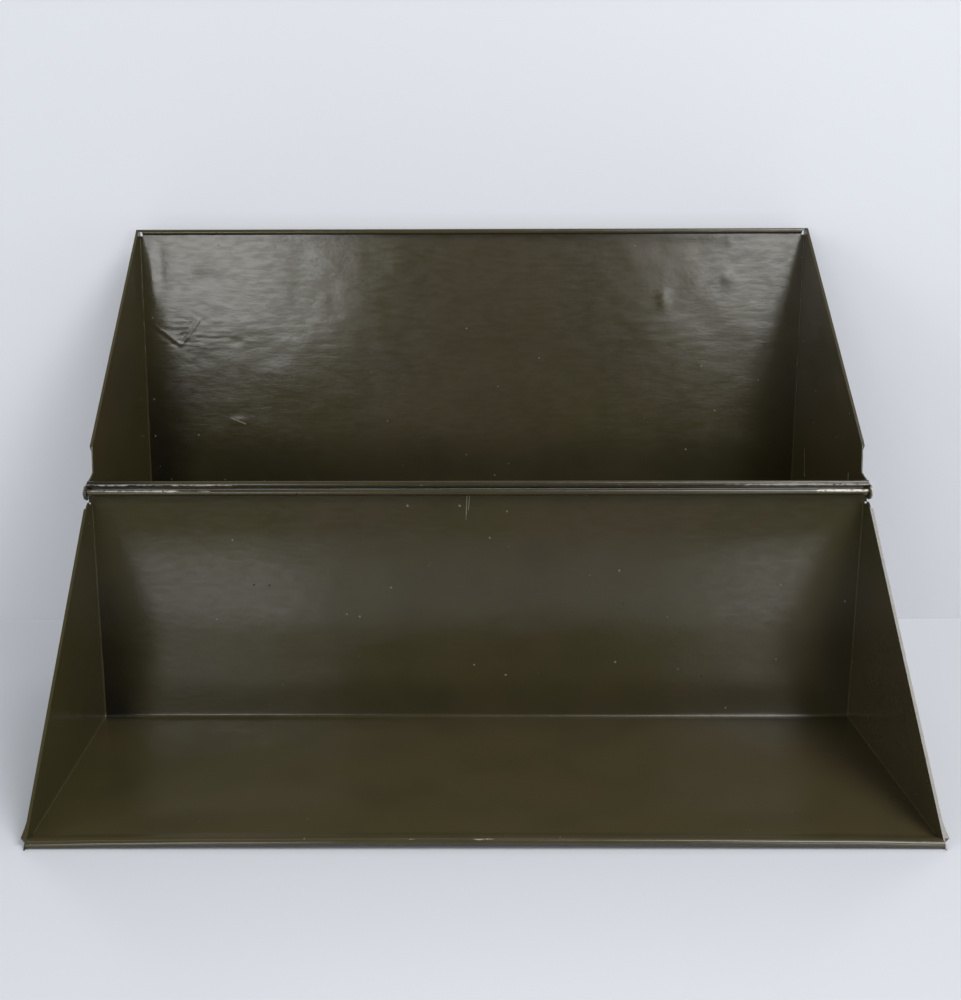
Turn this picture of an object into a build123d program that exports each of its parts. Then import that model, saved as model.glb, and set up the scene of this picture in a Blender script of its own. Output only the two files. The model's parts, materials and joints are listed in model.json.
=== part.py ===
from build123d import *
import math
import os

# Folding sheet-steel drain pan: two V-section troughs on one full-length hinge.
# X runs along the hinge, Y from front to back, Z up. Millimetres.
# The pan is modelled open: lower trough on its floor, upper trough up and back behind it.
# Origin: middle of the open pan's footprint, on the surface that it stands on.

# ---- driving dimensions -------------------------------------------------------------------
PAN_WIDTH = 500.0            # over the hems of the lower end plates
SHEET = 0.8                  # sheet steel thickness
FLOOR_DEPTH = 180.0          # front edge to the inside of the lower back wall
AXIS_HEIGHT = 156.0          # hinge axis above the ground
BEND = 2.0                   # inside radius of the long bends

UPPER_DEPTH = 187.75         # hinge axis to the inside of the upper wall, square to the wall
UPPER_RISE = 165.3           # top of the upper wall above the foot of that perpendicular
UPPER_DROP = 35.4            # the upper trough's inside corner below that foot
UPPER_LEAN = 2.2             # backward lean of the upper wall, degrees

HEM_GAP = 0.2                # slack inside a folded hem
HEM_WIDTH = 6.0              # width of the hem along an end plate's sloping edge
FLANGE = 9.0                 # width of the flanges that lap the troughs from outside
FLANGE_SETBACK = 5.0         # where the flanges stop short of a trough's corner
SIDE_CLEARANCE = 0.3         # between the lower hems and the upper end plates

ROD_RADIUS = 1.25            # hinge rod
ROD_FIT = 0.05               # radial clearance round the hinge rod
HINGE_CURL_SWEEP = 262.0     # how far the lower sheet wraps the hinge rod, degrees
WIRE_RADIUS = 1.2            # stiffening wire in the curled edges
WIRE_FIT = 0.02              # radial clearance round a stiffening wire
EDGE_CURL_SWEEP = 285.0      # how far a sheet wraps its stiffening wire, degrees
WIRE_SETBACK = 1.5           # a wire ends this far inside its curl
TOP_WIRE_SETBACK = 3.2       # and the upper wall's wire this far, clear of the corner notches
CURL_LIFT = 0.2              # gap between the lower curl and the upper hinge panel
LIP_LIFT = 5.4               # centre of the hinge lip above the axis, square to the panel

FRONT_STEP_RUN = 8.0         # length of the slope from the floor up to the front curl
FRONT_STEP_FLAT = 3.0        # flat between that slope and the curl's centre
LOWER_EDGE_LEAD = 1.0        # the lower end plates' foot stands this far in front of the floor
LOWER_EDGE_SETBACK = 4.5     # their sloping edge aims this far in front of the back wall's top
LOWER_PLATE_DROP = 5.1       # top of the lower end plates below the hinge axis
LOWER_PLATE_ROUND = 9.0      # rounding of their top front corner
LOWER_HEM_STOP = 4.0         # their hem stops this far before that corner
LIP_CLEARANCE = 0.2          # between the swinging hinge lip and the scoop in their top edge
FLOOR_FLANGE_START = 32.0    # the flanges under the floor start this far behind the front edge
TOP_STRIP = 6.9              # the wide strip at the hinge ends this far below the axis
BACK_FLANGE_DROP = 7.5       # the flanges behind the back wall stop this far below the plates' top

LID_OVERLAP = 3.7            # upper end plates' tip in front of the inside of the wall's top
EAR_OVERLAP = 9.2            # distance from the hinge axis to their sloping edge
EAR_RADIUS = 4.9             # round ear on the hinge rod
EAR_SHOULDER = 108.0         # where the front edge meets the ear, degrees from the rear
HEM_STOP = 32.6              # the hem stops this far up the sloping edge
NOTCH_SETBACK = 2.2          # below the hem the edge drops nearly upright, this far forward
NOTCH_HEIGHT = 8.8           # to this height above the axis, and then slopes to the ear
PANEL_FLANGE_START = 28.0    # the flanges under the hinge panel start this far from the axis
WALL_FLANGE_STOP = 18.0      # the flanges behind the upper wall stop this far below its top
RELIEF_RADIUS = 1.7          # relief notch at each top corner of the upper wall
RELIEF_DEPTH = 3.2           # its centre below the top of the wall

WASHER_RADIUS = 4.4
WASHER_THICKNESS = 0.8
WASHER_GAP = 0.1             # play between an ear and its washer
PEEN_RADIUS = 2.4            # peened end of the hinge rod
PEEN_HEIGHT = 0.9
PEEN_ROUND = 0.7

# ---- derived sizes ------------------------------------------------------------------------
HEM = 2 * SHEET + HEM_GAP
CURL_RADIUS = WIRE_RADIUS + WIRE_FIT + SHEET           # outside of a wired edge
BARREL_RADIUS = ROD_RADIUS + ROD_FIT + SHEET           # outside of the curl round the rod

LOWER_OUTSIDE = PAN_WIDTH / 2                          # outside of the lower hems
LOWER_INSIDE = LOWER_OUTSIDE - HEM                     # inside of the lower end plates
UPPER_INSIDE = LOWER_OUTSIDE + SIDE_CLEARANCE          # inside of the upper end plates
WASHER_START = UPPER_INSIDE + SHEET + WASHER_GAP
ROD_END = WASHER_START + WASHER_THICKNESS

AXIS_SETBACK = FLOOR_DEPTH - ROD_RADIUS - ROD_FIT      # front edge to the hinge axis
LEAN = math.radians(UPPER_LEAN)
REAR_REACH = (UPPER_DEPTH + 2 * SHEET) * math.cos(LEAN) + UPPER_RISE * math.sin(LEAN)
OVERALL_DEPTH = LOWER_EDGE_LEAD + AXIS_SETBACK + REAR_REACH
FRONT = LOWER_EDGE_LEAD - OVERALL_DEPTH / 2            # front edge of the lower floor
BACK = FRONT + FLOOR_DEPTH                             # inside of the lower back wall
FLOOR_TOP = 2 * SHEET                                  # the floor lies on the plates' flanges
FRONT_CURL = Vector(FRONT + CURL_RADIUS, CURL_RADIUS)  # the front curl touches the ground

AXIS = Vector(FRONT + AXIS_SETBACK, AXIS_HEIGHT)


def direction(angle):
    """Unit vector in the side view, which has Y to the right and Z up."""
    return Vector(math.cos(math.radians(angle)), math.sin(math.radians(angle)))


WALL_OUT = direction(-UPPER_LEAN)                      # from the hinge square to the upper wall
WALL_UP = direction(90 - UPPER_LEAN)

# The hinge panel passes over the lower curl, so its inside face misses the axis by this much.
PANEL_UNDERSIDE = BARREL_RADIUS + CURL_LIFT
PANEL_INSIDE = PANEL_UNDERSIDE + SHEET
CORNER_REACH = math.hypot(UPPER_DEPTH, UPPER_DROP)
PANEL_ANGLE = (-UPPER_LEAN
               - math.degrees(math.atan2(UPPER_DROP, UPPER_DEPTH))
               - math.degrees(math.asin(PANEL_INSIDE / CORNER_REACH)))
PANEL_ALONG = direction(PANEL_ANGLE)                   # from the hinge to the upper corner
PANEL_UP = direction(PANEL_ANGLE + 90)


def by_wall(out, up):
    """Side-view point given from the hinge axis, square to and along the upper wall."""
    return AXIS + WALL_OUT * out + WALL_UP * up


def by_panel(along, up):
    """Side-view point given from the hinge axis, along and square to the hinge panel."""
    return AXIS + PANEL_ALONG * along + PANEL_UP * up


def panel_meets_wall(panel_up, wall_out):
    """Where a line parallel to the hinge panel crosses a line parallel to the wall."""
    turn = PANEL_ALONG.dot(WALL_OUT)
    along = (wall_out - panel_up * PANEL_UP.dot(WALL_OUT)) / turn
    return by_panel(along, panel_up)


def side_solid(sketch, start, end):
    """Extrude a side-view sketch between two X positions."""
    low, high = sorted((start, end))
    return extrude(Plane.YZ.offset(low) * sketch, high - low)


def outline(*points):
    """Filled side-view polygon."""
    return make_face(Polyline(*[(p.X, p.Y) for p in points], close=True))


def bar(centre, radius, start, end):
    """Round bar along X."""
    return side_solid(Pos(centre.X, centre.Y) * Circle(radius), start, end)


def band(start, end, thickness):
    """Side-view rectangle along a line, with its thickness to the left of start-to-end."""
    left = (end - start).normalized().rotate(Axis.Z, 90) * thickness
    return outline(start, end, end + left, start + left)


LIP = by_panel(0, LIP_LIFT)                            # centre of the hinge lip
TOP = by_wall(UPPER_DEPTH + SHEET - CURL_RADIUS, UPPER_RISE - CURL_RADIUS)


# ---- lower trough -------------------------------------------------------------------------
def lower_trough_sheet():
    """Front curl, floor, back wall and the curl round the hinge rod, bent from one sheet.

    The strip at the hinge is wider than the rest and reaches over the end plates.
    """
    floor_line = FLOOR_TOP - SHEET / 2
    front_line = 2 * CURL_RADIUS - SHEET / 2
    wall_line = BACK + SHEET / 2
    step_top = FRONT_CURL.X + FRONT_STEP_FLAT
    front_curl = CenterArc((FRONT_CURL.X, FRONT_CURL.Y), CURL_RADIUS - SHEET / 2,
                           90, EDGE_CURL_SWEEP)
    floor_and_wall = FilletPolyline(
        (FRONT_CURL.X, front_line),
        (step_top, front_line),
        (step_top + FRONT_STEP_RUN, floor_line),
        (wall_line, floor_line),
        (wall_line, AXIS.Y),
        radius=BEND + SHEET / 2,
    )
    hinge_curl = CenterArc((AXIS.X, AXIS.Y), BARREL_RADIUS - SHEET / 2, 0, HINGE_CURL_SWEEP)
    section = trace([front_curl, floor_and_wall, hinge_curl], SHEET)
    wall_top = Line((wall_line, AXIS.Y - TOP_STRIP), (wall_line, AXIS.Y))
    top_strip = trace([wall_top, hinge_curl], SHEET)
    sheet = side_solid(section, -LOWER_INSIDE, LOWER_INSIDE)
    return sheet + side_solid(top_strip, -LOWER_OUTSIDE, LOWER_OUTSIDE)


def lower_end_plate(side):
    """Triangular plate, hemmed outward on its sloping edge, flanged under and behind.

    Its top edge is scooped out where the hinge lip swings past.
    """
    foot = Vector(FRONT - LOWER_EDGE_LEAD, 0)
    slope = (Vector(BACK - LOWER_EDGE_SETBACK, AXIS.Y) - foot).normalized()
    plate_top = AXIS.Y - LOWER_PLATE_DROP
    crest = foot + slope * (plate_top / slope.Y)
    outside_wall = BACK + 2 * SHEET
    shape = outline(foot, Vector(outside_wall, 0), Vector(outside_wall, plate_top), crest)
    shape = fillet(shape.vertices().sort_by_distance((crest.X, crest.Y, 0))[0],
                   LOWER_PLATE_ROUND)
    heel = shape.vertices().sort_by_distance((outside_wall, 0, 0))[0]
    shape = fillet(heel, BEND + 2 * SHEET)
    shape -= Pos(AXIS.X, AXIS.Y) * Circle(LIP_LIFT + CURL_RADIUS + LIP_CLEARANCE)
    outer_face = LOWER_INSIDE + SHEET
    plate = side_solid(shape, side * LOWER_INSIDE, side * outer_face)

    hem_start = foot + slope * (HEM_WIDTH * slope.X / slope.Y + HEM_GAP)
    hem_end = crest - slope * LOWER_HEM_STOP
    plate += edge_hem(hem_start, hem_end, side * outer_face, side)

    flange_end = side * (LOWER_INSIDE - FLANGE)
    under = outline(Vector(FRONT + FLOOR_FLANGE_START, 0),
                    Vector(BACK - FLANGE_SETBACK, 0),
                    Vector(BACK - FLANGE_SETBACK, SHEET),
                    Vector(FRONT + FLOOR_FLANGE_START, SHEET))
    behind = outline(Vector(BACK + SHEET, FLANGE_SETBACK + FLOOR_TOP),
                     Vector(outside_wall, FLANGE_SETBACK + FLOOR_TOP),
                     Vector(outside_wall, plate_top - BACK_FLANGE_DROP),
                     Vector(BACK + SHEET, plate_top - BACK_FLANGE_DROP))
    for flange in (under, behind):
        plate += side_solid(flange, side * LOWER_INSIDE, flange_end)
    return plate


def edge_hem(start, end, outer_face, side):
    """Hem folded outward along a sloping edge; the plate lies to the right of start-to-end."""
    fold = band(end, start, SHEET)
    strip = band(end, start, HEM_WIDTH)
    hem = side_solid(strip, outer_face + side * HEM_GAP, outer_face + side * (HEM_GAP + SHEET))
    return hem + side_solid(fold, outer_face, outer_face + side * HEM_GAP)


# ---- upper trough -------------------------------------------------------------------------
def upper_trough_sheet():
    """Hinge lip, hinge panel, wall and top curl, bent from one sheet."""
    middle_radius = CURL_RADIUS - SHEET / 2
    panel_line = PANEL_UNDERSIDE + SHEET / 2
    lip_curl = CenterArc((LIP.X, LIP.Y), middle_radius, PANEL_ANGLE, EDGE_CURL_SWEEP)
    top_curl = CenterArc((TOP.X, TOP.Y), middle_radius, -UPPER_LEAN, EDGE_CURL_SWEEP)
    bends = [LIP + PANEL_ALONG * middle_radius,
             by_panel(middle_radius, panel_line),
             panel_meets_wall(panel_line, UPPER_DEPTH + SHEET / 2),
             TOP + WALL_OUT * middle_radius]
    panel_and_wall = FilletPolyline(*[(p.X, p.Y) for p in bends], radius=BEND + SHEET / 2)
    section = trace([lip_curl, panel_and_wall, top_curl], SHEET)
    sheet = side_solid(section, -UPPER_INSIDE, UPPER_INSIDE)
    relief = by_wall(UPPER_DEPTH + SHEET - CURL_RADIUS, UPPER_RISE - RELIEF_DEPTH)
    for side in (-1, 1):
        hole = Location((side * (UPPER_INSIDE - RELIEF_RADIUS / 2), relief.X, relief.Y), (90, 0, 0))
        sheet -= hole * Cylinder(RELIEF_RADIUS, 3 * CURL_RADIUS)
    return sheet


def upper_end_plate(side):
    """Triangular plate with a hem, two flanges and a round ear on the hinge rod."""
    flange_face = PANEL_UNDERSIDE - SHEET
    wall_face = UPPER_DEPTH + 2 * SHEET
    tip = by_wall(UPPER_DEPTH - LID_OVERLAP, UPPER_RISE)
    edge_foot = AXIS + direction(135) * EAR_OVERLAP
    slope = (tip - edge_foot).normalized()
    hem_foot = edge_foot + slope * HEM_STOP
    notch = Vector(hem_foot.X - NOTCH_SETBACK, AXIS.Y + NOTCH_HEIGHT)
    corner = panel_meets_wall(flange_face, wall_face)
    shape = outline(AXIS, by_panel(0, -EAR_RADIUS), by_panel(PANEL_FLANGE_START, flange_face),
                    corner, by_wall(wall_face, UPPER_RISE), tip, hem_foot, notch,
                    AXIS + direction(EAR_SHOULDER) * EAR_RADIUS)
    shape = fillet(shape.vertices().sort_by_distance((corner.X, corner.Y, 0))[0],
                   BEND + 2 * SHEET)
    shape += Pos(AXIS.X, AXIS.Y) * Circle(EAR_RADIUS)
    shape -= Pos(AXIS.X, AXIS.Y) * Circle(ROD_RADIUS + ROD_FIT)
    outer_face = UPPER_INSIDE + SHEET
    plate = side_solid(shape, side * UPPER_INSIDE, side * outer_face)
    plate += edge_hem(hem_foot, tip, side * outer_face, side)

    corner_along = (corner - AXIS).dot(PANEL_ALONG)
    corner_up = (corner - AXIS).dot(WALL_UP)
    panel_end = corner_along - FLANGE_SETBACK
    under = outline(by_panel(PANEL_FLANGE_START, flange_face), by_panel(panel_end, flange_face),
                    by_panel(panel_end, PANEL_UNDERSIDE),
                    by_panel(PANEL_FLANGE_START, PANEL_UNDERSIDE))
    wall_start = corner_up + FLANGE_SETBACK
    wall_end = UPPER_RISE - WALL_FLANGE_STOP
    behind = outline(by_wall(UPPER_DEPTH + SHEET, wall_start), by_wall(wall_face, wall_start),
                     by_wall(wall_face, wall_end), by_wall(UPPER_DEPTH + SHEET, wall_end))
    for flange in (under, behind):
        plate += side_solid(flange, side * UPPER_INSIDE, side * (UPPER_INSIDE - FLANGE))
    return plate


# ---- wires, rod and washers ---------------------------------------------------------------
def edge_wire(centre, curl_end, setback=WIRE_SETBACK):
    """Stiffening wire inside a curl that runs from -curl_end to curl_end."""
    return bar(centre, WIRE_RADIUS, setback - curl_end, curl_end - setback)


def hinge_rod():
    """Full-length rod with both ends peened over their washers."""
    rod = bar(AXIS, ROD_RADIUS, -ROD_END, ROD_END)
    for side in (-1, 1):
        head = bar(AXIS, PEEN_RADIUS, side * ROD_END, side * (ROD_END + PEEN_HEIGHT))
        rim = head.edges().group_by(Axis.X)[-1 if side > 0 else 0]
        rod += fillet(rim, PEEN_ROUND)
    return rod


def hinge_washer(side):
    washer = bar(AXIS, WASHER_RADIUS, side * WASHER_START, side * ROD_END)
    return washer - bar(AXIS, ROD_RADIUS + ROD_FIT, side * WASHER_START, side * ROD_END)


def build_parts():
    return {
        "lower_trough_sheet": lower_trough_sheet(),
        "lower_left_end_plate": lower_end_plate(-1),
        "lower_right_end_plate": lower_end_plate(1),
        "lower_rim_wire": edge_wire(FRONT_CURL, LOWER_INSIDE),
        "upper_trough_sheet": upper_trough_sheet(),
        "upper_left_end_plate": upper_end_plate(-1),
        "upper_right_end_plate": upper_end_plate(1),
        "upper_rim_wire": edge_wire(TOP, UPPER_INSIDE, TOP_WIRE_SETBACK),
        "upper_lip_wire": edge_wire(LIP, UPPER_INSIDE),
        "hinge_rod": hinge_rod(),
        "left_hinge_washer": hinge_washer(-1),
        "right_hinge_washer": hinge_washer(1),
    }


if __name__ == "__main__":
    os.makedirs("parts", exist_ok=True)
    for node, solid in build_parts().items():
        solid.label = node
        export_step(solid, f"parts/{node}.step")
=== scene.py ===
import json
import math
import random

import bmesh
import bpy
from mathutils import Matrix, Vector, noise


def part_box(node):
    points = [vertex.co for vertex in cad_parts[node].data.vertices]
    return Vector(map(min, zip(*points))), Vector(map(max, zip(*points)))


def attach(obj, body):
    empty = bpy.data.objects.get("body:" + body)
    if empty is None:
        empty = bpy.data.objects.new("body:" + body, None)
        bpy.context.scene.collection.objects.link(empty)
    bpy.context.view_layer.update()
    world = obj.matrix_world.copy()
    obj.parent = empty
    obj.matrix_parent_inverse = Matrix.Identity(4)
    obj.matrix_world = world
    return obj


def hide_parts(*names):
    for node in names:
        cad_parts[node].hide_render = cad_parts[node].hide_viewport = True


# Looks of the folding drain pan: olive painted sheet steel, used, dented and worn.
# Metres, in the CAD frame: X along the hinge, Y from front to back, Z up.

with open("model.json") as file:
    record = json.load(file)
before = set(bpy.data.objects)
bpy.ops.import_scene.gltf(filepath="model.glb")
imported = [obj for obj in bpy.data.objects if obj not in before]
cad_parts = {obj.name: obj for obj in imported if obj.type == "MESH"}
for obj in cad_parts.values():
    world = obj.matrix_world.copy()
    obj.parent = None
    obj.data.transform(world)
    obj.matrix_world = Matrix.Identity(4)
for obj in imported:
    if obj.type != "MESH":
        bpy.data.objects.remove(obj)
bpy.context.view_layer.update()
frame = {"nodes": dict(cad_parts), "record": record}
MM = 0.001

# ---- sizes read from the CAD ---------------------------------------------------------------


def middle(node):
    low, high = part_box(node)
    return (low + high) / 2


def turned(angle):
    """Unit vector in the side view, in degrees from +Y towards +Z."""
    return Vector((0, math.cos(math.radians(angle)), math.sin(math.radians(angle))))


SHEET = 0.8 * MM
AXIS = Vector(frame["record"]["behaviour"]["joints"][0]["pos_m"])
LOWER_LOW, LOWER_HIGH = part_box("lower_trough_sheet")
FRONT = LOWER_LOW.y
BACK = LOWER_HIGH.y - SHEET
HEM_GAP = 0.2 * MM
HEM_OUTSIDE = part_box("lower_right_end_plate")[1].x
LOWER_HALF = HEM_OUTSIDE - 2 * SHEET - HEM_GAP
UPPER_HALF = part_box("upper_trough_sheet")[1].x
FOOT = Vector((0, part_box("lower_right_end_plate")[0].y, 0))
PLATE_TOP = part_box("lower_right_end_plate")[1].z

WIRE_LOW, WIRE_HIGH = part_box("upper_rim_wire")
WIRE_RADIUS = (WIRE_HIGH.z - WIRE_LOW.z) / 2
CURL_RADIUS = WIRE_RADIUS + SHEET
LEAN = 2.2
WALL_OUT = turned(-LEAN)
WALL_UP = turned(90 - LEAN)
TOP = middle("upper_rim_wire")
LIP = middle("upper_lip_wire")
FRONT_CURL = middle("lower_rim_wire")
WALL_INSIDE = (TOP - AXIS).dot(WALL_OUT) + WIRE_RADIUS
WALL_TOP = (TOP - AXIS).dot(WALL_UP) + CURL_RADIUS
PANEL_UP = (LIP - AXIS).normalized()
PANEL_ALONG = Vector((0, PANEL_UP.z, -PANEL_UP.y))
BARREL_RADIUS = LOWER_HIGH.z - AXIS.z

# ---- wear and damage -----------------------------------------------------------------------
FRONT_BOW = 1.7 * MM         # the middle of the front edge is bent up by this much
FLOOR_BOW_REACH = 95 * MM    # and that bend dies out this far back
HEM_FLARE = 2.2 * MM         # the lower hems gape outwards at the foot
HEM_FLARE_REACH = 17 * MM
HEM_GAPE = 0.22 * MM         # and a little at the top
WELD_MARK = Vector((-LOWER_HALF, -16.4 * MM, 138.2 * MM))
WELD_RADIUS = 1.9 * MM

# Dents in the upper wall: across, up the wall, depth away from the viewer, half width, half height
WALL_DENTS = (
    (-180, 81, 0.14, 4.0, 2.6),
    (-180, 20, -0.28, 5.5, 2.4),
    (-112, 114, -0.09, 3.5, 4.5),
    (-113, 135, -0.08, 2.8, 3.6),
    (-199, 150, -0.10, 9.0, 5.0),
    (-177, 143, 0.14, 9.0, 6.0),
    (-206, 128, 0.20, 14.0, 7.0),
    (-244, 132, -0.20, 3.5, 20.0),
    (-236, 140, 0.16, 4.5, 22.0),
    (146, 112, -0.25, 4.0, 7.0),
    (194, 128, -0.25, 4.0, 4.0),
    (195, 155, -0.18, 3.0, 3.0),
    (60, 60, 0.35, 45.0, 30.0),
)
# Creases in the upper wall: start, end, depth, half width
WALL_CREASES = (
    (Vector((-247, 97, 0)), Vector((-223, 79, 0)), -0.08, 1.3),
    (Vector((-246, 93, 0)), Vector((-224, 76, 0)), 0.05, 1.6),
    (Vector((-208, 97, 0)), Vector((-222, 79, 0)), -0.09, 1.2),
    (Vector((-212, 97, 0)), Vector((-225, 80, 0)), 0.05, 1.6),
)
CREASE_LOW = Vector((-249, 74, 0))
CREASE_HIGH = Vector((-205, 100, 0))
CREASE_MIDDLE = Vector((-214 * MM, 0, 82 * MM))


def clamp(value, low=0.0, high=1.0):
    return max(low, min(high, value))


def smooth(value, start, end):
    step = clamp((value - start) / (end - start))
    return step * step * (3 - 2 * step)


def hump(distance, width):
    return math.exp(-(distance / width) ** 2)


def waves(place, scale, shift=0.0):
    """Smooth uneven surface between -1 and 1."""
    return noise.noise(place * scale + Vector((shift, shift, shift)))


def segment_distance(point, start, end):
    along = end - start
    share = clamp((point - start).dot(along) / along.length_squared)
    return (point - start - along * share).length


def lower_bend(point):
    """How far the handled, dented lower trough is from the true CAD shape at a point."""
    x, y, z = point
    inside = 1 - smooth(abs(x), LOWER_HALF - 42 * MM, LOWER_HALF - 2 * MM)
    shift = Vector((0, 0, 0))
    if abs(x) > LOWER_HALF - 0.01 * MM:
        return plate_bend(point, 1 if x > 0 else -1)
    if z > 8 * MM and y > BACK - 4 * MM:
        free = smooth(z, 8 * MM, 30 * MM) * (1 - smooth(z, AXIS.z - 30 * MM, AXIS.z - 6 * MM))
        flat = Vector((x, 0, z))
        uneven = 0.55 * waves(flat, 9) + 0.16 * waves(flat, 30, 4) + 0.05 * waves(flat, 75, 9)
        shift.y = MM * inside * free * (uneven - 0.5)
    elif z < 8 * MM:
        front_share = 1 - smooth(y - FRONT, 0.0, FLOOR_BOW_REACH)
        bow = FRONT_BOW * (1 - (x / LOWER_HALF) ** 2)
        ripple = 0.22 * MM * inside * (1 + waves(Vector((x, 0, 0)), 22, 2))
        free = inside * smooth(y - FRONT, 10 * MM, 40 * MM) * smooth(BACK - y, 4 * MM, 30 * MM)
        flat = Vector((x, y, 0))
        uneven = 0.45 * waves(flat, 10, 7) + 0.14 * waves(flat, 34, 3)
        shift.z = front_share * (bow + ripple) + MM * free * (uneven + 0.35)
    return shift


def plate_bend(point, side):
    """Lower end plates: slightly pillowed, with hems that gape at both ends."""
    x, y, z = point
    foot_distance = (Vector((0, y, z)) - FOOT).length
    shift = Vector((0, 0, 0))
    hem = abs(x) > LOWER_HALF + SHEET + 0.05 * MM
    if hem:
        outer = smooth(abs(x), LOWER_HALF + SHEET, HEM_OUTSIDE)
        gape = HEM_FLARE * (1 - smooth(foot_distance, 2 * MM, HEM_FLARE_REACH))
        if side > 0:
            gape += HEM_GAPE * smooth(z, PLATE_TOP - 24 * MM, PLATE_TOP - 8 * MM)
        shift.x = side * gape * outer
        return shift
    if z < 4 * MM or y > BACK - 6 * MM:
        return shift
    edge = edge_distance(point, LOWER_EDGE)
    free = smooth(edge, 3 * MM, 22 * MM) * smooth(z, 4 * MM, 24 * MM)
    free *= smooth(BACK - y, 6 * MM, 24 * MM)
    uneven = 0.5 * waves(Vector((side, y, z)), 14, 5) + 0.15 * waves(Vector((side, y, z)), 45)
    shift.x = side * MM * free * uneven
    if side < 0:
        ring = (Vector((0, y - WELD_MARK.y, z - WELD_MARK.z))).length
        shift.x += MM * (0.45 * hump(ring - WELD_RADIUS, 0.6 * MM) - 0.35 * hump(ring, 1.2 * MM))
    return shift


def upper_bend(point):
    """How far the dented upper trough is from the true CAD shape at a point."""
    x = point.x
    rel = point - AXIS
    out = rel.dot(WALL_OUT)
    up = rel.dot(WALL_UP)
    inside = 1 - smooth(abs(x), UPPER_HALF - 14 * MM, UPPER_HALF - 1 * MM)
    if abs(x) > UPPER_HALF - 0.01 * MM:
        return upper_plate_bend(point, out, up, 1 if x > 0 else -1)
    if out > WALL_INSIDE - 1 * MM and up > -28 * MM:
        free = smooth(up, -28 * MM, -5 * MM) * (1 - smooth(up, WALL_TOP - 13 * MM, WALL_TOP - 4 * MM))
        flat = Vector((x, 0, up))
        depth = 0.42 * waves(flat, 8, 1) + 0.15 * waves(flat, 28, 6) + 0.05 * waves(flat, 80, 2)
        for across, height, deep, wide, tall in WALL_DENTS:
            if abs(x / MM - across) < 3 * wide and abs(up / MM - height) < 3 * tall:
                depth += deep * hump(math.hypot((x / MM - across) / wide,
                                                (up / MM - height) / tall), 1)
        flow = Vector((x, 0, 3.2 * up))
        depth += 0.045 * waves(flat, 50, 5) + 0.03 * waves(flow, 60, 3)
        depth += 0.07 * hump((flat - CREASE_MIDDLE).length, 30 * MM) * waves(flow, 110, 7)
        spot = Vector((x / MM, up / MM, 0))
        for start, end, deep, wide in WALL_CREASES:
            depth += deep * hump(segment_distance(spot, start, end), wide)
        return WALL_OUT * (MM * inside * free * depth)
    sag = 0.18 * MM * inside * waves(Vector((x, 0, 0)), 14, 8)
    return Vector((0, 0, -abs(sag)))


def upper_plate_bend(point, out, up, side):
    """Upper end plates: pillowed between the hem and the flanges."""
    if abs(point.x) > UPPER_HALF + SHEET + 0.05 * MM:
        return Vector((0, 0, 0))
    edge = edge_distance(point, UPPER_EDGE)
    panel = (point - AXIS).dot(PANEL_UP)
    free = smooth(edge, 3 * MM, 22 * MM) * smooth(WALL_INSIDE - out, 3 * MM, 22 * MM)
    free *= smooth(panel, 8 * MM, 28 * MM)
    flat = Vector((side, point.y, point.z))
    uneven = 0.5 * waves(flat, 13, 3) + 0.15 * waves(flat, 42, 6)
    return Vector((side * MM * free * uneven, 0, 0))


# ---- sloping front edges of the end plates, in the side view -------------------------------
LOWER_EDGE_SETBACK = 4.5 * MM
EAR_OVERLAP = 9.2 * MM
LID_OVERLAP = 3.7 * MM
UPPER_TIP = AXIS + WALL_OUT * (WALL_INSIDE - LID_OVERLAP) + WALL_UP * WALL_TOP
LOWER_EDGE = (FOOT, Vector((0, BACK - LOWER_EDGE_SETBACK, AXIS.z)))
UPPER_EDGE = (AXIS + turned(135) * EAR_OVERLAP, UPPER_TIP)


def edge_distance(point, edge):
    """Distance behind a sloping edge; it is even all the way along, so it interpolates."""
    start, end = edge
    along = (end - start).normalized()
    inward = Vector((0, along.z, -along.y))
    return (Vector((0, point.y, point.z)) - start).dot(inward)


# ---- how worn each piece is: (distance from its worn line, how worn the line is there) -----
FAR = 1.0


def side_distance(point, centre):
    return math.hypot(point.y - centre.y, point.z - centre.z)


def lower_sheet_wear(point):
    x = point.x
    if side_distance(point, AXIS) < BARREL_RADIUS + 0.3 * MM:
        crown = AXIS + turned(140) * BARREL_RADIUS
        right = smooth(x, 0.175, 0.235)
        left = smooth(-x, 0.10, 0.20)
        return side_distance(point, crown), max(0.34, 0.85 * right, 0.62 * left)
    if side_distance(point, FRONT_CURL) < CURL_RADIUS + 0.3 * MM:
        crown = FRONT_CURL + turned(115) * CURL_RADIUS
        scuffed = smooth(x, -0.056, -0.045) * (1 - smooth(x, 0.006, 0.018))
        corner = smooth(abs(x), 0.215, 0.23)
        return side_distance(point, crown), max(0.30, 0.50 * scuffed, 0.50 * corner)
    return FAR, 0.0


def upper_sheet_wear(point):
    x = point.x
    if side_distance(point, LIP) < CURL_RADIUS + 0.3 * MM:
        crown = LIP + turned(188) * CURL_RADIUS
        left = 0.62 * smooth(-x, 0.09, 0.17)
        right = 0.72 * smooth(x, 0.10, 0.20)
        return side_distance(point, crown), max(0.45, left, right)
    if side_distance(point, TOP) < CURL_RADIUS + 0.3 * MM:
        return side_distance(point, TOP + turned(130) * CURL_RADIUS), 0.32
    return FAR, 0.0


def lower_plate_wear(point):
    return max(0.0, edge_distance(point, LOWER_EDGE)), 0.38


def upper_plate_wear(point):
    return max(0.0, edge_distance(point, UPPER_EDGE)), 0.36


# ---- pieces ---------------------------------------------------------------------------------
WELD = 0.002 * MM
SMOOTH_ANGLE = math.radians(32)


def cut_planes(low, high, spacing):
    count = max(1, round((high - low) / spacing))
    return [low + (high - low) * index / count for index in range(1, count)]


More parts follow.
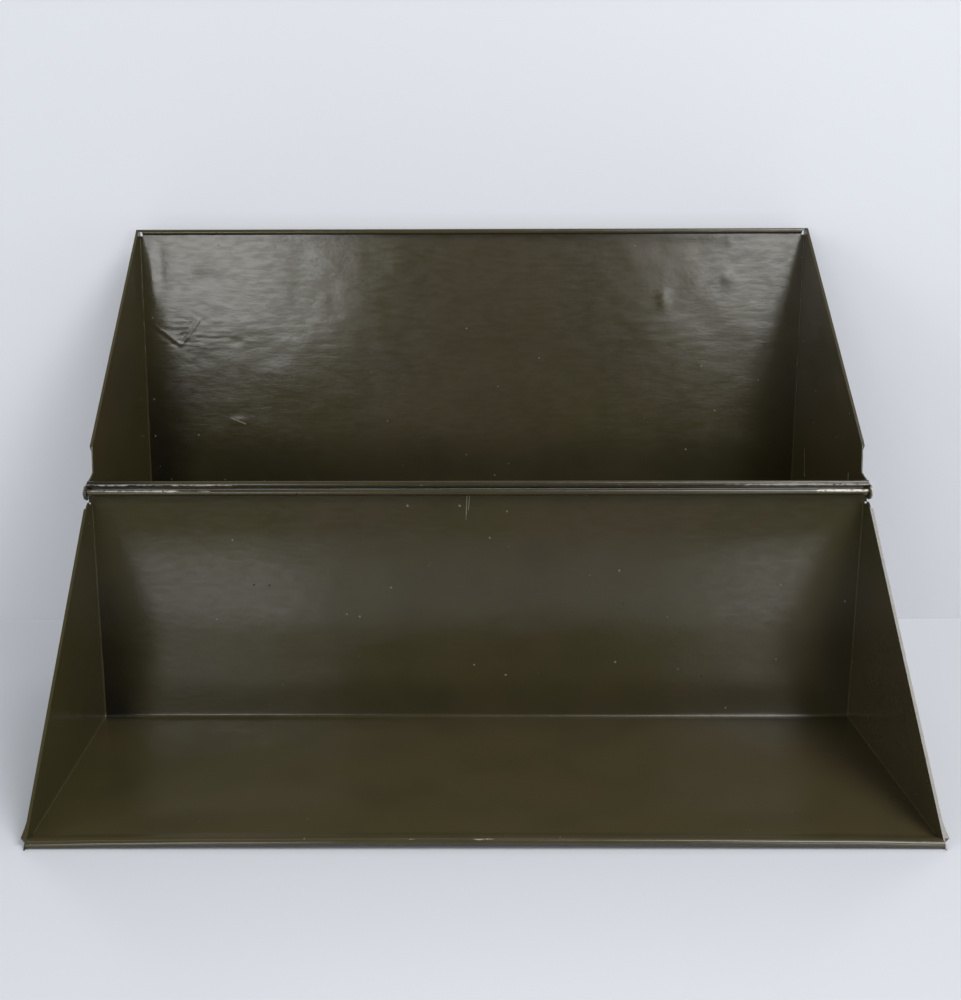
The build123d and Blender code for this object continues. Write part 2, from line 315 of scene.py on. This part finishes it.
def worked_copy(node, body, bend, wear, painted_shade, spacing, extra=()):
    """The CAD node's shape cut into a fine grid, then bent; stands for that node."""
    source = frame["nodes"][node]
    grid = bmesh.new()
    grid.from_mesh(source.data)
    bmesh.ops.remove_doubles(grid, verts=grid.verts, dist=WELD)
    bmesh.ops.dissolve_limit(grid, angle_limit=math.radians(0.5), verts=grid.verts,
                             edges=grid.edges)
    low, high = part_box(node)
    planes = [(axis, place) for axis in range(3)
              for place in cut_planes(low[axis], high[axis], spacing[axis])]
    for axis, place in planes + list(extra):
        point = Vector((0, 0, 0))
        point[axis] = place
        normal = Vector((0, 0, 0))
        normal[axis] = 1
        everything = grid.verts[:] + grid.edges[:] + grid.faces[:]
        bmesh.ops.bisect_plane(grid, geom=everything, plane_co=point, plane_no=normal, dist=1e-7)
    mesh = bpy.data.meshes.new(node + "_worked")
    grid.to_mesh(mesh)
    grid.free()
    for name in ("custom_normal", "sharp_face"):
        if name in mesh.attributes:
            mesh.attributes.remove(mesh.attributes[name])
    line = mesh.attributes.new("worn_line", "FLOAT", "POINT")
    amount = mesh.attributes.new("worn_amount", "FLOAT", "POINT")
    # worn_line and worn_amount place real edge wear; the next attribute holds painted shade for the
    # paint colour
    shade_layer = mesh.attributes.new("painted_shade", "FLOAT", "POINT")
    for index, vertex in enumerate(mesh.vertices):
        distance, worn = wear(vertex.co)
        line.data[index].value = distance
        amount.data[index].value = worn
        shade_layer.data[index].value = painted_shade(vertex.co)
        vertex.co += bend(vertex.co.copy())
    mesh.shade_smooth()
    piece = bpy.data.objects.new(node + "_worked", mesh)
    bpy.context.scene.collection.objects.link(piece)
    mesh.set_sharp_from_angle(angle=SMOOTH_ANGLE)
    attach(piece, body)
    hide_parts(node)
    return piece


def no_wear(point):
    return FAR, 0.0


# ---- painted shade: darker low on the walls near their ends, along the walls' foot and at the back of the floor, from 0 to 1 ---
def near_end(x, side, end, reach):
    return 1 - smooth(end - side * x, 4 * MM, reach)


def lower_painted_shade(point):
    x, y, z = point
    low = 1 - smooth(z, 40 * MM, 125 * MM)
    wall = smooth(y, BACK - 6 * MM, BACK - 2 * MM)
    ends = 1.0 * near_end(x, -1, LOWER_HALF, 46 * MM) + 0.35 * near_end(x, 1, LOWER_HALF, 30 * MM)
    foot = 0.25 * (1 - smooth(z, 8 * MM, 40 * MM))
    floor_back = 0.15 * (1 - smooth(BACK - y, 2 * MM, 40 * MM))
    return clamp(wall * max(low * ends, foot) + (1 - wall) * floor_back)


def upper_painted_shade(point):
    rel = point - AXIS
    up = rel.dot(WALL_UP)
    low = 1 - smooth(up, -10 * MM, 110 * MM)
    ends = near_end(point.x, -1, UPPER_HALF, 70 * MM)
    ends = max(ends, 0.5 * near_end(point.x, 1, UPPER_HALF, 60 * MM))
    foot = 0.45 * (1 - smooth(up, -20 * MM, 35 * MM))
    return clamp(max(low * ends, foot))


def no_painted_shade(point):
    return 0.0


def seam_bead(name, body, corners, radius):
    """Paint-covered sealing bead along an inside corner."""
    chance = random.Random(name)
    curve = bpy.data.curves.new(name, "CURVE")
    curve.dimensions = "3D"
    curve.bevel_depth = radius
    curve.bevel_resolution = 2
    line = curve.splines.new("POLY")
    points = []
    for start, end in zip(corners, corners[1:]):
        steps = max(1, round((end - start).length / (4 * MM)))
        points += [start.lerp(end, step / steps) for step in range(steps)]
    points.append(corners[-1])
    line.points.add(len(points) - 1)
    for spot, place in zip(line.points, points):
        spot.co = (*place, 1)
        spot.radius = 0.75 + 0.5 * chance.random()
    curve.use_fill_caps = True
    made = bpy.data.objects.new(name, curve)
    bpy.context.scene.collection.objects.link(made)
    bpy.context.view_layer.update()
    mesh = bpy.data.meshes.new_from_object(made.evaluated_get(bpy.context.evaluated_depsgraph_get()))
    bpy.data.objects.remove(made)
    bead = bpy.data.objects.new(name, mesh)
    bpy.context.scene.collection.objects.link(bead)
    mesh.shade_smooth()
    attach(bead, body)
    return bead


# ---- materials ------------------------------------------------------------------------------
class Shader:
    """Adds nodes to a new material and links them."""

    def __init__(self, name):
        self.material = bpy.data.materials.new(name)
        self.material.use_nodes = True
        self.tree = self.material.node_tree
        self.surface = self.tree.nodes["Principled BSDF"]
        self.place = self.node("TexCoord").outputs["Object"]

    def feed(self, socket, value):
        if isinstance(value, bpy.types.NodeSocket):
            self.tree.links.new(value, socket)
        else:
            socket.default_value = value

    def node(self, kind, inputs=None, **settings):
        made = self.tree.nodes.new("ShaderNode" + kind)
        for key, value in settings.items():
            setattr(made, key, value)
        for key, value in (inputs or {}).items():
            self.feed(made.inputs[key], value)
        return made

    def math(self, operation, *values, clamped=False):
        made = self.node("Math", operation=operation, use_clamp=clamped)
        for index, value in enumerate(values):
            self.feed(made.inputs[index], value)
        return made.outputs[0]

    def vector(self, operation, *values):
        made = self.node("VectorMath", operation=operation)
        for index, value in enumerate(values):
            self.feed(made.inputs[index], value)
        return made

    def noise(self, scale, detail=2.0, stretch=(1, 1, 1), shift=0.0, rough=0.5):
        place = self.vector("MULTIPLY", self.place, stretch).outputs[0]
        place = self.vector("ADD", place, (shift, shift * 1.7, shift * 0.6)).outputs[0]
        made = self.node("TexNoise", {"Vector": place, "Scale": scale, "Detail": detail,
                                      "Roughness": rough})
        return made.outputs["Fac"]

    def ramp(self, value, start, end, low=0.0, high=1.0):
        made = self.node("MapRange", {"Value": value, "From Min": start, "From Max": end,
                                      "To Min": low, "To Max": high},
                         interpolation_type="SMOOTHSTEP")
        return made.outputs["Result"]

    def mix(self, share, first, second):
        made = self.node("Mix", data_type="RGBA")
        self.feed(made.inputs[0], share)
        self.feed(made.inputs[6], first)
        self.feed(made.inputs[7], second)
        return made.outputs[2]

    def mix_value(self, share, first, second):
        made = self.node("Mix", data_type="FLOAT")
        self.feed(made.inputs[0], share)
        self.feed(made.inputs[2], first)
        self.feed(made.inputs[3], second)
        return made.outputs[0]

    def attribute(self, name):
        return self.node("Attribute", attribute_name=name).outputs["Fac"]

    def scratch(self, start, end, width, ragged):
        """1 on a line between two points of the surface, 0 away from it."""
        along = end - start
        offset = self.vector("SUBTRACT", self.place, start).outputs[0]
        share = self.vector("DOT_PRODUCT", offset, along / along.length_squared).outputs["Value"]
        share = self.math("MAXIMUM", self.math("MINIMUM", share, 1.0), 0.0)
        nearest = self.node("VectorMath", {"Vector": along, "Scale": share}, operation="SCALE")
        gap = self.vector("SUBTRACT", offset, nearest.outputs[0]).outputs[0]
        distance = self.vector("LENGTH", gap).outputs["Value"]
        distance = self.math("ADD", distance, self.math("MULTIPLY", ragged, width))
        return self.ramp(distance, 1.0 * width, 1.5 * width, 1.0, 0.0)


OLIVE = (0.0420, 0.0360, 0.0142, 1)
BROWN_OLIVE = (0.0450, 0.0350, 0.0165, 1)
DARK_OLIVE = (0.0260, 0.0215, 0.0095, 1)
STEEL = (0.42, 0.39, 0.33, 1)
RUST = (0.10, 0.055, 0.032, 1)
CHIP = (0.26, 0.24, 0.18, 1)
PIT = (0.010, 0.009, 0.007, 1)
# Near-black tone that paints shade into the corners, low on the walls and at their ends
PAINTED_SHADE_TONE = (0.0060, 0.0048, 0.0035, 1)


def painted(name, shift, gloss, marks):
    """Semi-gloss olive drab brushed over sheet steel, rubbed to bare metal at the edges."""
    s = Shader(name)
    cloud = s.noise(5, 3, shift=shift)
    patch = s.noise(26, 3, shift=shift + 3)
    brushed = s.noise(95, 3, stretch=(1, 3.4, 3.4), shift=shift, rough=0.6)
    paint = s.mix(s.ramp(cloud, 0.35, 0.65), OLIVE, BROWN_OLIVE)
    paint = s.mix(s.ramp(patch, 0.42, 0.75, 0.0, 0.30), paint, DARK_OLIVE)
    paint = s.mix(s.ramp(brushed, 0.45, 0.8, 0.0, 0.16), paint, DARK_OLIVE)

    # Painted shade: the paint is darkened towards a near-black tone by the per-vertex shade
    # attribute, mottled by the patch noise
    shade_share = s.math("MULTIPLY", s.attribute("painted_shade"), s.ramp(patch, 0.25, 0.6, 0.75, 1.0))
    paint = s.mix(s.math("MULTIPLY", shade_share, 0.9), paint, PAINTED_SHADE_TONE)

    grain = s.noise(260, 4, stretch=(0.35, 1, 1), shift=shift, rough=0.65)
    near = s.ramp(s.attribute("worn_line"), 0.0, 1.9 * MM, 1.0, 0.0)
    rubbed = s.math("MULTIPLY", near, s.attribute("worn_amount"))
    bare = s.ramp(s.math("ADD", rubbed, s.math("MULTIPLY", grain, 0.8)), 0.92, 1.06)
    metal = s.mix(s.ramp(s.noise(420, 3, shift=shift + 5), 0.5, 0.68), STEEL, RUST)
    colour = s.mix(bare, paint, metal)

    dots = s.node("TexVoronoi", {"Vector": s.place, "Scale": 95.0, "Randomness": 1.0})
    lot = s.node("SeparateColor", {"Color": dots.outputs["Color"]}).outputs
    size = s.ramp(lot[2], 0.0, 1.0, 0.02, 0.085)
    dot = s.ramp(s.math("DIVIDE", dots.outputs["Distance"], size), 0.6, 1.0, 1.0, 0.0)
    speck = s.math("MULTIPLY", s.ramp(lot[0], 0.62, 0.63), dot)
    pit = s.math("MULTIPLY", s.ramp(lot[0], 0.20, 0.21, 1.0, 0.0), dot)
    ragged = s.noise(900, 2)
    for start, end, width in marks:
        speck = s.math("MAXIMUM", speck, s.scratch(start, end, width, ragged))
    colour = s.mix(s.math("MULTIPLY", speck, 0.55), colour, CHIP)
    colour = s.mix(pit, colour, PIT)
    s.feed(s.surface.inputs["Base Color"], colour)
    s.feed(s.surface.inputs["Metallic"], s.math("MULTIPLY", bare, 0.3))

    rough = s.math("ADD", s.ramp(cloud, 0.3, 0.7, gloss - 0.03, gloss + 0.03),
                   s.ramp(brushed, 0.3, 0.7, -0.03, 0.04))
    rough = s.mix_value(bare, rough, s.ramp(grain, 0.3, 0.7, 0.32, 0.55))
    s.feed(s.surface.inputs["Roughness"], s.mix_value(speck, rough, 0.6))

    peel = s.noise(520, 2, stretch=(0.7, 1, 1), shift=shift)
    lumps = s.noise(120, 2, stretch=(0.6, 1, 1), shift=shift + 8)
    layers = ((peel, 0.028), (lumps, 0.045), (brushed, 0.034), (bare, -0.05), (speck, 0.07),
              (pit, -0.07))
    height = 0.0
    for layer, depth in layers:
        height = s.math("ADD", height, s.math("MULTIPLY", layer, depth * MM))
    relief = s.node("Bump", {"Height": height, "Strength": 1.0, "Distance": 1.0})
    s.feed(s.surface.inputs["Normal"], relief.outputs[0])
    return s.material


def worn_steel(name, shift):
    """Drawn steel, dull, with paint left in places and a little rust."""
    s = Shader(name)
    grain = s.noise(350, 4, stretch=(0.3, 1, 1), shift=shift, rough=0.6)
    cover = s.ramp(s.noise(160, 4, shift=shift + 2, rough=0.6), 0.44, 0.54)
    metal = s.mix(s.ramp(grain, 0.4, 0.65), STEEL, RUST)
    s.feed(s.surface.inputs["Base Color"], s.mix(cover, metal, DARK_OLIVE))
    s.feed(s.surface.inputs["Metallic"], s.math("MULTIPLY", s.math("SUBTRACT", 1.0, cover), 0.4))
    s.feed(s.surface.inputs["Roughness"], s.ramp(grain, 0.3, 0.7, 0.32, 0.55))
    height = s.math("ADD", s.math("MULTIPLY", grain, 0.06 * MM),
                    s.math("MULTIPLY", cover, 0.06 * MM))
    relief = s.node("Bump", {"Height": height, "Strength": 1.0, "Distance": 1.0})
    s.feed(s.surface.inputs["Normal"], relief.outputs[0])
    return s.material


def lower_wall(across, height):
    return Vector((across * MM, BACK, height * MM))


def upper_wall(across, height):
    place = AXIS + WALL_OUT * WALL_INSIDE + WALL_UP * (height * MM)
    place.x = across * MM
    return place


def upper_right_plate(along, height):
    return Vector((UPPER_HALF, along * MM, height * MM))


# Scratches and chips: start, end, half width
LOWER_MARKS = (
    (lower_wall(-6.5, 153), lower_wall(-7.2, 137), 0.3 * MM),
    (lower_wall(-4.9, 153), lower_wall(-5.6, 144), 0.25 * MM),
    (lower_wall(-32.0, 105.5), lower_wall(-30.2, 109), 0.4 * MM),
    (lower_wall(-72.5, 38), lower_wall(-71.8, 38.6), 0.5 * MM),
)
UPPER_MARKS = (
    (upper_right_plate(147.5, 153), upper_right_plate(142.8, 133.5), 0.6 * MM),
    (upper_right_plate(142.8, 133.3), upper_right_plate(142.6, 132.9), 1.3 * MM),
    (upper_right_plate(36.3, 158), upper_right_plate(35.4, 150), 0.9 * MM),
    (upper_wall(-186, 22), upper_wall(-175, 17.5), 0.7 * MM),
)


def build_pieces():
    lower_paint = painted("lower_paint", 0.0, 0.21, LOWER_MARKS)
    upper_paint = painted("upper_paint", 11.0, 0.20, UPPER_MARKS)
    wire_steel = worn_steel("wire_steel", 0.0)
    rod_steel = worn_steel("rod_steel", 7.0)

    crease_cuts = [(0, step * MM) for step in range(round(CREASE_LOW.x), round(CREASE_HIGH.x))]
    crease_cuts += [(2, AXIS.z + step * MM)
                    for step in range(round(CREASE_LOW.y) - 6, round(CREASE_HIGH.y) - 6)]
    weld = WELD_RADIUS + MM
    weld_cuts = [(1, WELD_MARK.y - weld + step * 0.5 * MM) for step in range(12)]
    weld_cuts += [(2, WELD_MARK.z - weld + step * 0.5 * MM) for step in range(12)]
    lower_plate = ("lower_trough", lower_bend, lower_plate_wear, no_painted_shade, (9, 4, 4))
    upper_plate = ("upper_trough", upper_bend, upper_plate_wear, no_painted_shade, (9, 4, 4))
    upper_wire = ("upper_trough", upper_bend, no_wear, no_painted_shade, (6, 9, 9), ())
    plans = (
        ("lower_trough_sheet", "lower_trough", lower_bend, lower_sheet_wear, lower_painted_shade,
         (5, 5, 5), ()),
        ("lower_left_end_plate", *lower_plate, weld_cuts),
        ("lower_right_end_plate", *lower_plate, ()),
        ("lower_rim_wire", "lower_trough", lower_bend, no_wear, no_painted_shade, (6, 9, 9), ()),
        ("upper_trough_sheet", "upper_trough", upper_bend, upper_sheet_wear, upper_painted_shade,
         (2.5, 6, 2.5), crease_cuts),
        ("upper_left_end_plate", *upper_plate, ()),
        ("upper_right_end_plate", *upper_plate, ()),
        ("upper_rim_wire", *upper_wire),
        ("upper_lip_wire", *upper_wire),
    )
    for node, body, bend, wear, painted_shade, spacing, extra in plans:
        spacing = [step * MM for step in spacing]
        piece = worked_copy(node, body, bend, wear, painted_shade, spacing, extra)
        wire = node.endswith("wire")
        paint = lower_paint if body == "lower_trough" else upper_paint
        piece.data.materials.append(wire_steel if wire else paint)
    for node in ("hinge_rod", "left_hinge_washer", "right_hinge_washer"):
        mesh = frame["nodes"][node].data
        mesh.materials.clear()
        mesh.materials.append(rod_steel)

    for side, hand in ((-1, "left"), (1, "right")):
        low_x = side * LOWER_HALF
        corner = Vector((low_x, BACK, 2 * SHEET))
        lower_seam = seam_bead(f"lower_{hand}_seam", "lower_trough", (
            Vector((low_x, FRONT + 14 * MM, 2 * SHEET)), corner,
            Vector((low_x, BACK, PLATE_TOP - 3 * MM))), 0.75 * MM)
        lower_seam.data.materials.append(lower_paint)
        high_x = side * UPPER_HALF
        foot = AXIS + WALL_OUT * WALL_INSIDE - WALL_UP * 33 * MM
        head = AXIS + WALL_OUT * WALL_INSIDE + WALL_UP * (WALL_TOP - 6.5 * MM)
        foot.x = head.x = high_x
        upper_seam = seam_bead(f"upper_{hand}_seam", "upper_trough", (foot, head), 0.7 * MM)
        upper_seam.data.materials.append(upper_paint)


# ---- camera, floor and light ----------------------------------------------------------------
CAMERA_X = -22.45 * MM
CAMERA_BACK = 662.14 * MM
CAMERA_Z = 355.06 * MM
PITCH, YAW, ROLL = 13.645, 0.312, 0.158
LENS = 48.51
SHIFT = 0.0454


def add_camera():
    camera = bpy.data.cameras.new("camera")
    camera.sensor_width = 36
    camera.lens = LENS
    camera.shift_x = SHIFT
    holder = bpy.data.objects.new("camera", camera)
    bpy.context.scene.collection.objects.link(holder)
    holder.matrix_world = (
        Matrix.Translation((CAMERA_X, FRONT - CAMERA_BACK, CAMERA_Z))
        @ Matrix.Rotation(math.radians(YAW), 4, "Z")
        @ Matrix.Rotation(math.radians(90 - PITCH), 4, "X")
        @ Matrix.Rotation(math.radians(-ROLL), 4, "Z"))
    bpy.context.scene.camera = holder


BOARD = 200 * MM             # the upper trough leans towards a pale board that stands here


def add_sheet(name, corners, tone, rough):
    mesh = bpy.data.meshes.new(name)
    mesh.from_pydata(corners, [], [(0, 1, 2, 3)])
    sheet = bpy.data.objects.new(name, mesh)
    bpy.context.scene.collection.objects.link(sheet)
    s = Shader(name)
    s.surface.inputs["Base Color"].default_value = (tone, 1.02 * tone, 1.07 * tone, 1)
    s.surface.inputs["Roughness"].default_value = rough
    mesh.materials.append(s.material)
    return sheet, s


def add_table():
    add_sheet("floor", [(-2.5, -0.43, 0), (2.5, -0.43, 0), (2.5, 2.2, 0), (-2.5, 2.2, 0)],
              0.54, 0.20)


def add_board():
    """Upright backdrop that only the camera sees, and only from in front."""
    board, s = add_sheet("board", [(-2, BOARD, 0), (2, BOARD, 0), (2, BOARD, 1.4),
                                   (-2, BOARD, 1.4)], 0.66, 0.6)
    facing = s.node("NewGeometry").outputs["Backfacing"]
    clear = s.node("BsdfTransparent").outputs[0]
    choose = s.node("MixShader", {0: facing, 1: s.surface.outputs[0], 2: clear})
    s.feed(s.tree.nodes["Material Output"].inputs["Surface"], choose.outputs[0])
    board.visible_shadow = False
    board.visible_diffuse = False
    board.visible_glossy = False


def add_light(name, place, size, power, mirrored):
    """Soft rectangular light aimed at the pan; it shows in glossy paint only if mirrored."""
    lamp = bpy.data.lights.new(name, "AREA")
    lamp.shape = "RECTANGLE"
    lamp.size, lamp.size_y = size
    lamp.energy = power
    holder = bpy.data.objects.new(name, lamp)
    holder.location = place
    aim = Vector((0, 0, 0.15)) - Vector(place)
    holder.rotation_euler = aim.to_track_quat("-Z", "Y").to_euler()
    holder.visible_camera = False
    holder.visible_glossy = mirrored
    bpy.context.scene.collection.objects.link(holder)


def add_world():
    """Pale to the camera, a soft sky to matt surfaces and a dim room in reflections."""
    world = bpy.data.worlds.new("studio")
    bpy.context.scene.world = world
    world.use_nodes = True
    tree = world.node_tree
    sky = tree.nodes["Background"]
    sky.inputs["Color"].default_value = (0.88, 0.93, 1.0, 1)
    rays = tree.nodes.new("ShaderNodeLightPath")
    place = tree.nodes.new("ShaderNodeTexCoord")
    split = tree.nodes.new("ShaderNodeSeparateXYZ")
    tree.links.new(place.outputs["Generated"], split.inputs[0])
    room = tree.nodes.new("ShaderNodeMapRange")
    tree.links.new(split.outputs["Y"], room.inputs["Value"])
    room.inputs["From Min"].default_value = -0.1
    room.inputs["From Max"].default_value = 0.5
    room.inputs["To Min"].default_value = 0.07
    room.inputs["To Max"].default_value = 0.60
    to_glossy = tree.nodes.new("ShaderNodeMix")
    to_glossy.inputs[2].default_value = 0.38
    tree.links.new(rays.outputs["Is Glossy Ray"], to_glossy.inputs[0])
    tree.links.new(room.outputs[0], to_glossy.inputs[3])
    to_camera = tree.nodes.new("ShaderNodeMix")
    to_camera.inputs[3].default_value = 0.72
    tree.links.new(rays.outputs["Is Camera Ray"], to_camera.inputs[0])
    tree.links.new(to_glossy.outputs[0], to_camera.inputs[2])
    tree.links.new(to_camera.outputs[0], sky.inputs["Strength"])


build_pieces()
add_camera()
add_table()
add_board()
add_world()
add_light("left_window", (-0.46, -1.5, 0.39), (0.40, 0.44), 3.8, True)
add_light("right_window", (0.66, -1.5, 0.43), (0.38, 0.44), 4.0, True)
add_light("left_fill", (-1.6, -0.9, 0.9), (1.0, 1.0), 12, False)
add_light("ceiling", (1.0, -0.7, 1.9), (1.4, 1.0), 40, True)
add_light("rear", (0.2, 1.7, 1.6), (1.2, 0.5), 13, False)
bpy.context.scene.view_settings.view_transform = "Standard"
